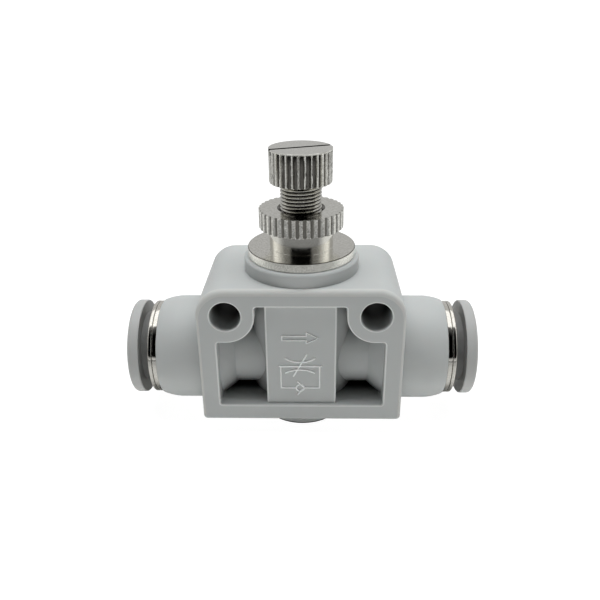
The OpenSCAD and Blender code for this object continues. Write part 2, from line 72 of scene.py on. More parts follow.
def middle(node):        # the height halfway up a CAD node
    return sum(corner.z for corner in extent(node)) / 2


portZ = middle("left_release_collar")


# materials

class Wire:              # a socket that Python's operators work on
    def __init__(self, recipe, socket):
        self.recipe, self.socket = recipe, socket

    def calc(self, operation, a, b):
        return self.recipe.node("ShaderNodeMath", {"operation": operation}, {0: a, 1: b})

    def __add__(self, other):
        return self.calc("ADD", self, other)

    __radd__ = __add__

    def __sub__(self, other):
        return self.calc("SUBTRACT", self, other)

    def __rsub__(self, other):
        return self.calc("SUBTRACT", other, self)

    def __mul__(self, other):
        return self.calc("MULTIPLY", self, other)

    __rmul__ = __mul__

    def __pow__(self, other):
        return self.calc("POWER", self, other)


class Recipe:            # a material and its nodes
    def __init__(self, tree):
        self.tree = tree
        tree.nodes.clear()

    def node(self, kind, settings=None, inputs=None, output=0):
        made = self.tree.nodes.new(kind)
        for name, value in (settings or {}).items():
            if name == "stops":              # a ramp's places and greys
                ramp = made.color_ramp
                while len(ramp.elements) < len(value):
                    ramp.elements.new(1.0)
                for stop, (place, grey) in zip(ramp.elements, value):
                    stop.position = place
                    stop.color = (grey, grey, grey, 1)
            else:
                setattr(made, name, value)
        for name, value in (inputs or {}).items():
            if isinstance(value, Wire):
                self.tree.links.new(value.socket, made.inputs[name])
            else:
                made.inputs[name].default_value = value
        return Wire(self, made.outputs[output]) if made.outputs else None

    def split(self, place, axes="XYZ"):
        return [self.node("ShaderNodeSeparateXYZ", None, {0: place}, axis) for axis in axes]

    def fade(self, value, start, end, low=0.0, high=1.0, curve="LINEAR"):
        inputs = {0: value, 1: start, 2: end, 3: low, 4: high}
        return self.node("ShaderNodeMapRange", {"interpolation_type": curve}, inputs)

    def softFade(self, value, start, end):
        return self.fade(value, start, end, curve="SMOOTHSTEP")

    def blend(self, mask, low, high):        # a colour between two
        inputs = {0: mask, 6: low, 7: high}
        return self.node("ShaderNodeMix", {"data_type": "RGBA"}, inputs, 2)

    def noise(self, place, scale, detail=2.0, rough=0.5):
        inputs = {"Vector": place, "Scale": scale, "Detail": detail, "Roughness": rough}
        return self.node("ShaderNodeTexNoise", None, inputs)

    def surface(self, inputs):
        shader = self.node("ShaderNodeBsdfPrincipled", None, inputs)
        self.node("ShaderNodeOutputMaterial", None, {"Surface": shader})


def newMaterial(name):
    material = bpy.data.materials.new(name)
    material.use_nodes = True
    return material, Recipe(material.node_tree)


def mouldedPlastic(name, look):
    material, m = newMaterial(name)
    place = m.node("ShaderNodeTexCoord", None, None, "Object")
    cloud = m.noise(place, look["cloudScale"], 3.0)
    grain = m.noise(place, look["grainScale"], 2.0)
    scuff = m.noise(place, look["scuffScale"], 4.0, 0.65)
    colour = m.blend(m.fade(cloud, *look["cloudRange"]), look["shade"], look["colour"])
    if "fade" in look:                       # recesses are painted darker the deeper they go: painted shade
        inner, outer = (depth * mm for depth in look["fade"])
        y, = m.split(place, "Y")
        colour = m.blend(m.softFade((y * y) ** 0.5, inner, outer), look["deepColour"], colour)
    bump = m.node("ShaderNodeBump", None, {
        "Strength": look["bump"], "Distance": look["grainDepth"] * mm,
        "Height": grain + scuff * look["scuffShare"]})
    m.surface({
        "Base Color": colour,
        "Roughness": look["roughness"] + (scuff - 0.5) * look["roughSpread"],
        "Specular IOR Level": look["specular"],
        "Subsurface Weight": look["depth"],
        "Subsurface Scale": look["depthScale"] * mm,
        "Normal": bump})
    return material


def turnedMetal(name, look, centreZ=None):
    # fine turning lines run round the Z axis, or round a tube port where its height is given
    material, m = newMaterial(name)
    place = m.node("ShaderNodeTexCoord", None, None, "Object")
    x, y, z = m.split(place)
    if centreZ is not None:
        x, z = z - centreZ * mm, x
    across = (x * x + y * y) ** 0.5
    lines = m.node("ShaderNodeTexNoise", {"noise_dimensions": "1D"}, {
        "W": (across + z) * look["lineScale"], "Scale": 1.0, "Detail": 3.0, "Roughness": 0.6})
    speck = m.noise(place, look["speckScale"], 3.0, 0.7)
    patch = m.noise(place, look["patchScale"], 2.0)
    colour = m.blend(m.fade(speck, *look["speckRange"]), look["shade"], look["colour"])
    roughness = look["roughness"] + (patch - 0.5) * look["roughSpread"]
    if "grooves" in look:                    # grooves are painted dark as painted shade; crests keep the lighter surface colour
        deep, crest = (radius * mm for radius in look["grooves"])
        outward = m.softFade(across, deep, crest)
        groove = look["grooveColour"]
        if "fade" in look:                   # and are painted darker still under the rim: painted shade
            low, high = (height * mm for height in look["fade"])
            groove = m.blend(m.fade(z, low, high), groove, look["deepColour"])
        colour = m.blend(outward, groove, colour)
        roughness = roughness + (1 - outward) * look["grooveRough"]
    bump = m.node("ShaderNodeBump", None, {
        "Strength": look["bump"], "Distance": look["lineDepth"] * mm,
        "Height": lines * look["lineShare"] + speck * look["speckShare"]})
    m.surface({
        "Base Color": colour,
        "Metallic": 1.0,
        "Roughness": roughness,
        "Normal": bump})
    return material


def mattRubber(name, look):
    material, m = newMaterial(name)
    place = m.node("ShaderNodeTexCoord", None, None, "Object")
    grain = m.noise(place, look["grainScale"], 3.0)
    bump = m.node("ShaderNodeBump", None, {
        "Strength": look["bump"], "Distance": look["grainDepth"] * mm, "Height": grain})
    m.surface({
        "Base Color": m.blend(grain, look["shade"], look["colour"]),
        "Roughness": look["roughness"] + (grain - 0.5) * look["roughSpread"],
        "Normal": bump})
    return material


def tinted(look, colour, shade, **more):     # the same surface in another colour
    return look | {"colour": (*colour, 1), "shade": (*shade, 1)} | more


bodyLook = {"colour": (0.520, 0.536, 0.528, 1), "shade": (0.500, 0.516, 0.508, 1),
            "cloudScale": 180.0, "cloudRange": (0.3, 0.7), "grainScale": 9000.0,
            "grainDepth": 0.006, "scuffScale": 900.0, "scuffShare": 0.5, "bump": 0.25,
            "roughness": 0.44, "roughSpread": 0.12, "specular": 0.3, "depth": 0.03,
            "depthScale": 0.6}
# painted highlight: the outer rounded edges are a lighter copy of the body plastic
edgeHighlightLook = tinted(bodyLook, (0.60, 0.606, 0.585), (0.58, 0.586, 0.565))
# painted shade: the window's pockets, sill and column are copies that fade to near black with
# depth
pocketShadeLook = tinted(bodyLook, (0.56, 0.575, 0.57), (0.54, 0.555, 0.55), fade=(0.6, 5.2),
                    deepColour=(0.03, 0.031, 0.03, 1), specular=0.12)
sillShadeLook = pocketShadeLook | {"fade": (3.1, 8.0), "deepColour": (0.01, 0.01, 0.01, 1),
                         "specular": 0.0}
# painted shadow: the foot's lower rim is near black where it meets the floor
contactShadowLook = tinted(bodyLook, (0.07, 0.07, 0.068), (0.05, 0.05, 0.048), specular=0.1)
columnShadeLook = tinted(pocketShadeLook, (0.42, 0.43, 0.425), (0.39, 0.40, 0.395))
# painted shade: the screw hole bores darken with depth
holeShadeLook = pocketShadeLook | {"fade": (3.0, 9.2), "deepColour": (0.06, 0.06, 0.058, 1)}
# rims of the window, screw holes and rib are lighter: partly rubbed wear, partly painted highlight
rimWearAndHighlightLook = tinted(bodyLook, (0.75, 0.76, 0.745), (0.72, 0.73, 0.715), roughness=0.36)
# painted highlight: the raised symbol is the body's plastic painted near white
markHighlightLook = tinted(bodyLook, (0.93, 0.94, 0.93), (0.90, 0.91, 0.90), bump=0.0)
collarLook = tinted(bodyLook, (0.475, 0.478, 0.468), (0.45, 0.453, 0.444), roughness=0.4)
# painted shade: the collar's side turned to the rings is a darker copy
shadeLook = tinted(collarLook, (0.24, 0.24, 0.235), (0.19, 0.19, 0.185))
flangeLook = {"colour": (0.72, 0.71, 0.665, 1), "shade": (0.50, 0.49, 0.45, 1),
              "lineScale": 5500.0, "lineDepth": 0.02, "lineShare": 0.5, "speckScale": 4200.0,
              "speckRange": (0.33, 0.66), "speckShare": 1.2, "patchScale": 600.0, "bump": 0.18,
              "roughness": 0.15, "roughSpread": 0.1}
# painted highlight: the flange's side is a lighter copy of the nickel, also rougher
sideHighlightLook = tinted(flangeLook, (0.97, 0.955, 0.89), (0.64, 0.63, 0.575), roughness=0.25)
neckLook = flangeLook | {"shade": (0.66, 0.645, 0.59, 1), "bump": 0.06, "roughness": 0.14,
                         "roughSpread": 0.05, "lineShare": 1.0, "speckShare": 0.3}
knobLook = flangeLook | {"shade": (0.42, 0.41, 0.375, 1), "bump": 0.25, "roughness": 0.17}
# painted shade: the thread's roots are near black
threadLook = knobLook | {"bump": 0.08, "roughness": 0.13, "lineShare": 0.2,
                         "grooves": (2.66, 2.88), "grooveColour": (0.05, 0.046, 0.04, 1),
                         "grooveRough": 0.0}
# knob sides: a lighter copy of the nickel as painted highlight, grooves painted dark as painted
# shade, darkest under the rim
knobSideLook = tinted(knobLook, (0.92, 0.91, 0.86), (0.50, 0.49, 0.445), grooves=(3.98, 4.34),
                      grooveColour=(0.25, 0.24, 0.22, 1), grooveRough=0.35, fade=(39.2, 40.5),
                      deepColour=(0.02, 0.019, 0.017, 1))
# nut sides: a lighter copy of the nickel as painted highlight, grooves painted dark as painted
# shade
nutSideLook = tinted(knobLook, (0.92, 0.91, 0.86), (0.44, 0.43, 0.39), grooves=(5.72, 5.96),
                     grooveColour=(0.28, 0.27, 0.245, 1), grooveRough=0.3)
# painted shade: a dark copy of the nickel for the slot and bore insides
boreShadeLook = tinted(knobLook, (0.20, 0.195, 0.175), (0.07, 0.068, 0.06))
# painted reflection: the flange's top rounding is a dark copy standing in for a dark reflection
darkEdgeReflectionLook = tinted(knobLook, (0.16, 0.145, 0.12), (0.07, 0.068, 0.06))
ringLook = tinted(flangeLook, (0.78, 0.76, 0.71), (0.60, 0.58, 0.53), bump=0.1,
                  roughness=0.08, roughSpread=0.05, speckShare=0.4)
springLook = tinted(ringLook, (0.62, 0.62, 0.60), (0.5, 0.5, 0.49), roughness=0.22)
rubberLook = {"colour": (0.016, 0.016, 0.018, 1), "shade": (0.008, 0.008, 0.009, 1),
              "grainScale": 6000.0, "grainDepth": 0.02, "bump": 0.3, "roughness": 0.6,
              "roughSpread": 0.2}

bodyPlastic = mouldedPlastic("bodyPlastic", bodyLook)
rimWearAndHighlightPlastic = mouldedPlastic("rimWearAndHighlightPlastic", rimWearAndHighlightLook)
edgeHighlightPlastic = mouldedPlastic("edgeHighlightPlastic", edgeHighlightLook)
pocketShadePlastic = mouldedPlastic("pocketShadePlastic", pocketShadeLook)
columnShadePlastic = mouldedPlastic("columnShadePlastic", columnShadeLook)
sillShadePlastic = mouldedPlastic("sillShadePlastic", sillShadeLook)
contactShadowPlastic = mouldedPlastic("contactShadowPlastic", contactShadowLook)
holeShadePlastic = mouldedPlastic("holeShadePlastic", holeShadeLook)
markHighlightPlastic = mouldedPlastic("markHighlightPlastic", markHighlightLook)
collarPlastic = mouldedPlastic("collarPlastic", collarLook)
collarShade = mouldedPlastic("collarShade", shadeLook)
turnedNickel = turnedMetal("turnedNickel", flangeLook)
sideHighlightNickel = turnedMetal("sideHighlightNickel", sideHighlightLook)
knobNickel = turnedMetal("knobNickel", knobSideLook)
nutNickel = turnedMetal("nutNickel", nutSideLook)
neckNickel = turnedMetal("neckNickel", neckLook)
boreShadeNickel = turnedMetal("boreShadeNickel", boreShadeLook)
darkEdgeReflectionNickel = turnedMetal("darkEdgeReflectionNickel", darkEdgeReflectionLook)
threadNickel = turnedMetal("threadNickel", threadLook)
ringNickel = turnedMetal("ringNickel", ringLook, portZ)
springSheet = turnedMetal("springSheet", springLook, portZ)
sealRubber = mattRubber("sealRubber", rubberLook)
print("materials made")


# shared steps

weldGap = 0.0005         # corners closer than this become one


def bevel(bm, geom, width, segments, material, affect="EDGES", slide=True):
    bmesh.ops.bevel(bm, geom=geom, offset=width, offset_type="OFFSET", affect=affect,
                    segments=segments, profile=0.5, material=material, loop_slide=slide)


def roundedFace(bm, corners, place):
    # corners are (across, up, radius); place puts a flat point in space
    points = [bm.verts.new(place(across, up)) for across, up, radius in corners]
    bm.faces.new(points)
    for point, (across, up, radius) in zip(points, corners):
        if radius:
            bevel(bm, [point], radius, max(3, round(8 * math.sqrt(radius))), -1, "VERTICES")


def lathe(corners, steps=96):
    # a closed outline of (radius, height, rounding) turned about Z
    bm = bmesh.new()
    roundedFace(bm, corners, lambda across, up: (across, 0, up))
    bmesh.ops.delete(bm, geom=bm.faces[:], context="FACES_ONLY")
    onAxis = [edge for edge in bm.edges if max(vert.co.x for vert in edge.verts) < weldGap / 5]
    bmesh.ops.delete(bm, geom=onAxis, context="EDGES")
    bmesh.ops.spin(bm, geom=bm.verts[:] + bm.edges[:], cent=(0, 0, 0), axis=(0, 0, 1),
                   dvec=(0, 0, 0), angle=math.tau, steps=steps, use_merge=True)
    return bm


def toPort(bm, side):    # what was turned about Z is laid along a port, left (-1) or right (1)
    lay = Matrix.Translation((0, 0, portZ)) @ Matrix.Rotation(side * math.pi / 2, 4, "Y")
    bmesh.ops.transform(bm, matrix=lay, verts=bm.verts)
    return bm


def makeSolid(bm, name, materials):
    bmesh.ops.remove_doubles(bm, verts=bm.verts, dist=weldGap)
    bmesh.ops.recalc_face_normals(bm, faces=bm.faces)
    mesh = bpy.data.meshes.new(name)
    bm.to_mesh(mesh)
    bm.free()
    for material in materials:
        mesh.materials.append(material)
    solid = bpy.data.objects.new(name, mesh)
    everything.link(solid)
    return solid


def shapedMesh(solid):   # its mesh with modifiers and curves worked out
    shaped = solid.evaluated_get(bpy.context.evaluated_depsgraph_get())
    return bpy.data.meshes.new_from_object(shaped)


def settle(solid):       # its modifiers become part of the mesh
    mesh = shapedMesh(solid)
    solid.modifiers.clear()
    solid.data = mesh


def combine(solid, tool, operation):
    change = solid.modifiers.new("change", "BOOLEAN")
    change.object, change.operation, change.solver = tool, operation, "MANIFOLD"
    settle(solid)
    bpy.data.objects.remove(tool)


def finishPiece(piece, body, nodes=(), sharp=26):
    piece.data.shade_smooth()
    piece.data.set_sharp_from_angle(angle=math.radians(sharp))
    piece.modifiers.new("evenShading", "WEIGHTED_NORMAL").keep_sharp = True
    settle(piece)
    piece.data.transform(Matrix.Scale(mm, 4))
    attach(piece, body)
    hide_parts(*nodes)
    return piece


# body

bodyForm = {
    "width": 29, "depth": 18, "bottom": 2.7, "top": 23.65, "upperCorner": 4.0,
    "lowerCorner": 0.6, "topEdge": 0.8, "sideEdge": 0.42, "edgeRise": 1.2, "lowEdge": 0.45,
    "windowHalf": 11.84, "windowBottom": 5.25, "windowTop": 21.15, "windowCorner": 0.35,
    "windowRim": 0.22, "overlap": 1.2, "holeX": 10.42, "holeZ": 19.70, "holeRadius": 2.15,
    "holeBoss": 4.05, "holeRim": 0.18, "holeIn": 8.8, "webHalf": 1.0,
    "ribHalf": 5.02, "ribFace": 8.4, "ribEdge": 0.25,
    "columnRadius": 7.6, "coreRadius": 5.35, "coreRound": 0.12, "coreEnd": 12.44,
    "flareRadius": 7.4, "flareLength": 2.0, "flareEnd": 0.6,
    "bossRadius": 8.29, "bossTop": 25.66, "bossEdge": 0.45,
    "footRadius": 6.27, "footEdge": 0.1, "footShadowTop": 0.22, "footInside": 4,
    "barrelRadius": 7.82, "barrelStart": 13.2, "barrelEnd": 21.21, "barrelMouth": 7.2,
    "barrelTurn": 1.436, "barrelRound": 1.4, "mouthEdge": 0.15,
    "guideBore": [(0, 1.6), (4.6, 1.6), (4.6, 9.7), (5.0, 9.7), (5.0, 10.7), (6.2, 10.7),
                  (6.2, 27), (0, 27)],
    "portBore": [(0, 9), (4.1, 9), (4.1, 13), (5.9, 13), (5.9, 16), (6.45, 16), (6.45, 22),
                 (0, 22)],
    "passageRadius": 1.7, "passageOffset": 2.3, "passageEnd": 9.5,
    "passageStarts": ((-1, 3.75), (1, 5.35))}
bodyPaint = [bodyPlastic, rimWearAndHighlightPlastic, edgeHighlightPlastic, pocketShadePlastic, holeShadePlastic, columnShadePlastic,
             sillShadePlastic, contactShadowPlastic]


def frameLoops(bm, f, front):
    # the outlines of the front face: the block, its window and the two screw holes
    half, low, high = f["width"] / 2, f["bottom"], f["top"]
    outer = [(-half, low, f["lowerCorner"]), (half, low, f["lowerCorner"]),
             (half, high, f["upperCorner"]), (-half, high, f["upperCorner"])]
    edge, bossLow = f["windowCorner"], f["holeZ"] - f["holeBoss"]
    bossIn = f["holeX"] - f["holeBoss"]
    side = [(f["windowHalf"], f["windowBottom"], edge), (f["windowHalf"], bossLow, edge),
            (bossIn, bossLow, f["holeBoss"]), (bossIn, f["windowTop"], edge)]
    window = side + [(-across, up, radius) for across, up, radius in reversed(side)]
    loops = []
    for corners in (outer, window):
        known = set(bm.edges)
        roundedFace(bm, corners, lambda across, up: (across, front, up))
        loops.append([each for each in bm.edges if each not in known])
    for sign in (-1, 1):
        known = set(bm.edges)
        centre = Matrix.Translation((sign * f["holeX"], front, f["holeZ"]))
        bmesh.ops.create_circle(bm, cap_ends=False, segments=64, radius=f["holeRadius"],
                                matrix=centre @ Matrix.Rotation(math.pi / 2, 4, "X"))
        loops.append([each for each in bm.edges if each not in known])
    return loops


def frameSolid(f):
    # the front face between its loops, then walls from each loop, then the same behind
    bm = bmesh.new()
    soften = bm.edges.layers.float.new("outerEdge")
    front = -f["depth"] / 2
    loops = frameLoops(bm, f, front)
    bmesh.ops.delete(bm, geom=bm.faces[:], context="FACES_ONLY")
    bmesh.ops.triangle_fill(bm, use_beauty=True, use_dissolve=False, edges=bm.edges[:])
    for loop, length in zip(loops, (-front, -front - f["webHalf"], -front, -front)):
        walls = bmesh.ops.extrude_edge_only(bm, edges=loop)["geom"]
        verts = [each for each in walls if isinstance(each, bmesh.types.BMVert)]
        bmesh.ops.translate(bm, vec=(0, length, 0), verts=verts)
        if loop is loops[1]:
            edges = [each for each in walls if isinstance(each, bmesh.types.BMEdge)]
            bmesh.ops.edgeloop_fill(bm, edges=edges)
    sideShare = f["sideEdge"] / f["topEdge"]
    for each in loops[0]:                    # the rounding grows from the sides to the top
        height = sum(vert.co.z for vert in each.verts) / 2
        rise = (height - (f["top"] - f["upperCorner"])) / f["upperCorner"]
        rise = min(1.0, max(0.0, rise * f["edgeRise"]))
        each[soften] = sideShare + (1 - sideShare) * rise
    # window and hole rims take the lighter rim plastic: partly wear, partly painted highlight
    rimIndex = bodyPaint.index(rimWearAndHighlightPlastic)
    for loop, rim in ((loops[1], f["windowRim"]), (loops[2] + loops[3], f["holeRim"])):
        bevel(bm, loop, rim, 3, rimIndex, slide=False)
    bmesh.ops.mirror(bm, geom=bm.verts[:] + bm.edges[:] + bm.faces[:],
                     matrix=Matrix.Identity(4), merge_dist=0.001, axis="Y")
    solid = makeSolid(bm, "bodyShell", bodyPaint)
    edges = solid.modifiers.new("outerEdge", "BEVEL")
    edges.limit_method, edges.edge_weight, edges.width = "WEIGHT", "outerEdge", f["topEdge"]
    edges.segments, edges.use_clamp_overlap, edges.loop_slide = 5, False, False
    # the outer rounding takes the painted highlight
    edges.material = bodyPaint.index(edgeHighlightPlastic)
    settle(solid)
    return solid


def ribSolid(f):
    bm = bmesh.new()
    low, high = f["windowBottom"] - f["overlap"], f["windowTop"] + f["overlap"]
    size = Matrix.Diagonal((2 * f["ribHalf"], 2 * f["ribFace"], high - low, 1))
    centre = Matrix.Translation((0, 0, (low + high) / 2))
    bmesh.ops.create_cube(bm, size=1, matrix=centre @ size)
    upright = [edge for edge in bm.edges if abs(edge.verts[0].co.z - edge.verts[1].co.z) > 1]
    # the rib's upright edges take the lighter rim plastic: partly wear, partly painted highlight
    bevel(bm, upright, f["ribEdge"], 3, bodyPaint.index(rimWearAndHighlightPlastic))
    return makeSolid(bm, "rib", bodyPaint)


def bodyForms(f):        # what joins the frame, as outlines to be turned
    inside, outside = f["windowBottom"] - f["overlap"], f["windowTop"] + f["overlap"]
    window, end = f["windowHalf"], f["coreEnd"]
    flare = [(f["flareRadius"], window + f["flareEnd"], 0), (f["flareRadius"], window, 0),
             (f["coreRadius"], window - f["flareLength"], f["coreRound"])]
    core = [(0, end, 0)] + flare + [(r, -z, c) for r, z, c in reversed(flare)] + [(0, -end, 0)]
    column = [(0, inside, 0), (f["columnRadius"], inside, 0), (f["columnRadius"], outside, 0),
              (0, outside, 0)]
    boss = [(0, outside, 0), (f["bossRadius"], outside, 0),
            (f["bossRadius"], f["bossTop"], f["bossEdge"]), (0, f["bossTop"], 0)]
    foot = [(0, 0, 0), (f["footRadius"], 0, f["footEdge"]), (f["footRadius"], f["footShadowTop"], 0),
            (f["footRadius"], f["footInside"], 0), (0, f["footInside"], 0)]
    start, end, wide = f["barrelStart"], f["barrelEnd"], f["barrelRadius"]
    barrel = [(0, start, 0), (wide, start, 0), (wide, end - f["barrelTurn"], f["barrelRound"]),
              (f["barrelMouth"], end, f["mouthEdge"]), (0, end, 0)]
    return [lathe(column, 128), toPort(lathe(core, 96), 1), lathe(boss, 160), lathe(foot, 128),
            toPort(lathe(barrel, 144), -1), toPort(lathe(barrel, 144), 1)]


def bodyCuts(f):         # the guide's bore, the two sockets and the passages between them
    guideBore = [(radius, height, 0) for radius, height in f["guideBore"]]
    portBore = [(radius, height, 0) for radius, height in f["portBore"]]
    cuts = [lathe(guideBore, 96), toPort(lathe(portBore, 128), -1),
            toPort(lathe(portBore, 128), 1)]
    radius, end = f["passageRadius"], f["passageEnd"]
    for side, start in f["passageStarts"]:
        passage = toPort(lathe([(0, start, 0), (radius, start, 0), (radius, end, 0),
                                (0, end, 0)], 48), side)
        bmesh.ops.translate(passage, vec=(0, 0, side * f["passageOffset"]), verts=passage.verts)
        cuts.append(passage)
    return cuts


def paintBody(faces, f):
    plain, edge = bodyPaint.index(bodyPlastic), bodyPaint.index(edgeHighlightPlastic)
    for face in faces:
        x, y, z = face.center
        fromAxis = math.hypot(x, y)
        fromHole = math.hypot(abs(x) - f["holeX"], z - f["holeZ"])
        upright = f["windowBottom"] - near < z < f["windowTop"] + near
        inWindow = abs(x) < f["windowHalf"] + near and upright
        besideRib = abs(y) < f["ribFace"] - near and abs(x) > f["ribHalf"] - near
        paint = None
        # the screw holes take the painted-shade plastic
        if fromHole < f["holeRadius"] + near and abs(y) < f["holeIn"]:
            paint = holeShadePlastic
        # the window's sill, column and pockets take the painted-shade plastics
        elif inWindow and abs(face.normal.z) > 0.99 and z < f["windowBottom"] + 2 * near:
            paint = sillShadePlastic
        elif inWindow and besideRib and face.material_index == plain:
            paint = columnShadePlastic if fromAxis < f["columnRadius"] + near else pocketShadePlastic
        # the painted highlight stays off the bottom edges
        elif face.material_index == edge and z < f["bottom"] + f["lowEdge"]:
            paint = bodyPlastic
        # painted shadow on the foot's lower rim
        elif z < f["footShadowTop"] and fromAxis > f["footRadius"] - 2 * f["footEdge"]:
            paint = contactShadowPlastic
        if paint:
            face.material_index = bodyPaint.index(paint)


def makeBody(f):
    body = frameSolid(f)
    for each in [ribSolid(f)] + [makeSolid(bm, "bodyPart", bodyPaint) for bm in bodyForms(f)]:
        combine(body, each, "UNION")
    for bm in bodyCuts(f):
        combine(body, makeSolid(bm, "bodyCut", bodyPaint), "DIFFERENCE")
    paintBody(body.data.polygons, f)
    body.name = "valveBody"
    return finishPiece(body, "root", ["body"])


makeBody(bodyForm)
print("body made")


# the raised arrow and flow symbol on the rib

markForm = {
    "face": -8.43, "radius": 0.115,
    "arrow": [(-2.67, 15.80), (0.76, 15.80), (0.76, 15.30), (2.47, 16.15), (0.76, 17.0),
              (0.76, 16.50), (-2.67, 16.50)],
    "restriction": [[(-2.30, 12.9), (-1.75, 12.55), (-1.0, 12.3), (-0.14, 12.22), (0.7, 12.3),
                     (1.45, 12.55), (2.02, 12.9)],
                    [(-2.30, 10.42), (-1.75, 10.7), (-1.0, 10.93), (-0.14, 11.0), (0.7, 10.93),
                     (1.45, 10.7), (1.95, 10.42)]],
    "strokes": [[(-1.15, 9.84), (0.81, 13.54)], [(-3.2, 11.56), (3.0, 11.56)],
                [(-2.92, 11.56), (-2.92, 7.93), (-0.73, 7.93)],
                [(0.42, 7.93), (2.65, 7.93), (2.65, 11.56)],
                [(-0.56, 8.98), (0.42, 7.93), (-0.56, 6.75)]],
    "ball": (-0.16, 7.93, 0.56), "ballPoints": 24}


def makeMark(f):
    curve = bpy.data.curves.new("flowMark", "CURVE")
    curve.dimensions, curve.bevel_depth, curve.bevel_resolution = "3D", f["radius"], 2
    curve.use_fill_caps = True
    across, up, radius = f["ball"]
    turns = [point * math.tau / f["ballPoints"] for point in range(f["ballPoints"])]
    ball = [(across + radius * math.cos(turn), up + radius * math.sin(turn)) for turn in turns]
    for stroke in [f["arrow"], ball] + f["restriction"] + f["strokes"]:
        line = curve.splines.new("POLY")
        line.use_cyclic_u = stroke in (f["arrow"], ball)
        line.points.add(len(stroke) - 1)
        for point, (x, z) in zip(line.points, stroke):
            point.co = (x, f["face"], z, 1)
    drawn = bpy.data.objects.new("flowMark", curve)
    everything.link(drawn)
    mesh = shapedMesh(drawn)
    bpy.data.objects.remove(drawn)
    bm = bmesh.new()
    bm.from_mesh(mesh)
    bmesh.ops.remove_doubles(bm, verts=bm.verts, dist=weldGap)
    ends = [edge for edge in bm.edges if edge.is_boundary]
    bmesh.ops.holes_fill(bm, edges=ends, sides=0)
    mark = makeSolid(bm, "flowMark", [markHighlightPlastic])
    return finishPiece(mark, "root")


makeMark(markForm)
print("flow symbol made")


# needle guide: flange and neck above the body, plug and orifice tube inside

guideForm = {
    "flangeRadius": 7.7, "flangeEdge": 0.09, "flangeLowEdge": 0.1, "flangeHeight": 1.29,
    "seatGap": 0.02, "neckRadius": 4.575, "neckEdge": 0.12, "neckFillet": 0.05,
    "boreRadius": 2.98, "boreEdge": 0.15, "plugRadius": 6.17, "plugEnd": 17.56,
    "barbs": 3, "barbPitch": 0.9, "barbDepth": 0.28,
    "ringGroove": (19.39, 20.93), "ringGrooveRadius": 5.045, "ringGrooveRound": 0.2,
    "tubeRadius": 3.7, "tubeEdge": 0.1, "sealGroove": (9.9, 11.35), "sealGrooveRadius": 3.2,
    "orificeRadius": 1.65, "orificeTop": 9.9, "chamberRadius": 2.45, "chamberTop": 19.3,
    "crossHoleZ": 12.6, "crossHoleRadius": 1, "crossHoleReach": 7,
    "neckFrom": 0.08, "neckTo": 0.05, "neckInside": 4.2, "rimDepth": 0.1}


def makeGuide(f):
    low, high = extent("needle_guide")
    seat = extent("body")[1].z
    flangeTop, under = seat + f["flangeHeight"], seat + f["seatGap"]
    plug, tube, bore = f["plugRadius"], f["tubeRadius"], f["boreRadius"]
    pitch, notch, grooveRound = f["barbPitch"], plug - f["barbDepth"], f["ringGrooveRound"]
    outline = [
        (bore, high.z, f["boreEdge"]), (f["neckRadius"], high.z, f["neckEdge"]),
        (f["neckRadius"], flangeTop, f["neckFillet"]),
        (f["flangeRadius"], flangeTop, f["flangeEdge"]),
        (f["flangeRadius"], under, f["flangeLowEdge"]), (plug, under, 0),
        (notch, seat - pitch, 0)]
    for barb in range(f["barbs"]):
        outline += [(plug, seat - pitch - pitch * barb, 0),
                    (notch, seat - 2 * pitch - pitch * barb, 0)]
    ringLow, ringHigh = f["ringGroove"]
    sealLow, sealHigh = f["sealGroove"]
    outline += [
        (plug, seat - 4 * pitch, 0), (plug, ringHigh, 0),
        (f["ringGrooveRadius"], ringHigh, grooveRound),
        (f["ringGrooveRadius"], ringLow, grooveRound), (plug, ringLow, 0),
        (plug, f["plugEnd"], grooveRound), (tube, f["plugEnd"], 0),
        (tube, sealHigh, 0), (f["sealGrooveRadius"], sealHigh, 0),
        (f["sealGrooveRadius"], sealLow, 0), (tube, sealLow, 0),
        (tube, low.z, f["tubeEdge"]), (f["orificeRadius"], low.z, f["tubeEdge"]),
        (f["orificeRadius"], f["orificeTop"], 0), (f["chamberRadius"], f["orificeTop"], 0),
        (f["chamberRadius"], f["chamberTop"], 0), (bore, f["chamberTop"], 0)]
    paint = [turnedNickel, neckNickel, sideHighlightNickel, darkEdgeReflectionNickel]
    guide = makeSolid(lathe(outline, 160), "needleGuide", paint)
    reach, radius = f["crossHoleReach"], f["crossHoleRadius"]
    for turn in (0, math.pi / 2):
        hole = lathe([(0, -reach, 0), (radius, -reach, 0), (radius, reach, 0), (0, reach, 0)], 32)
        lay = (Matrix.Translation((0, 0, f["crossHoleZ"])) @ Matrix.Rotation(turn, 4, "Z")
               @ Matrix.Rotation(math.pi / 2, 4, "Y"))
        bmesh.ops.transform(hole, matrix=lay, verts=hole.verts)
        combine(guide, makeSolid(hole, "crossHole", [turnedNickel]), "DIFFERENCE")
    neckLow, neckHigh = flangeTop + f["neckFrom"], high.z - f["neckTo"]
    for face in guide.data.polygons:         # the neck is smoother than the flange
        z, fromAxis = face.center.z, face.center.xy.length
        if neckLow < z < neckHigh and fromAxis > f["neckInside"]:
            face.material_index = paint.index(neckNickel)
        # the flange's side takes the painted highlight and its top rounding the painted dark
        # reflection
        if fromAxis > f["flangeRadius"] - f["rimDepth"]:
            rounding = flangeTop - f["rimDepth"] < z < flangeTop - 2 * weldGap
            face.material_index = paint.index(darkEdgeReflectionNickel if rounding else sideHighlightNickel)
    return finishPiece(guide, "root", ["needle_guide"])


makeGuide(guideForm)
print("needle guide made")


# needle with its thread

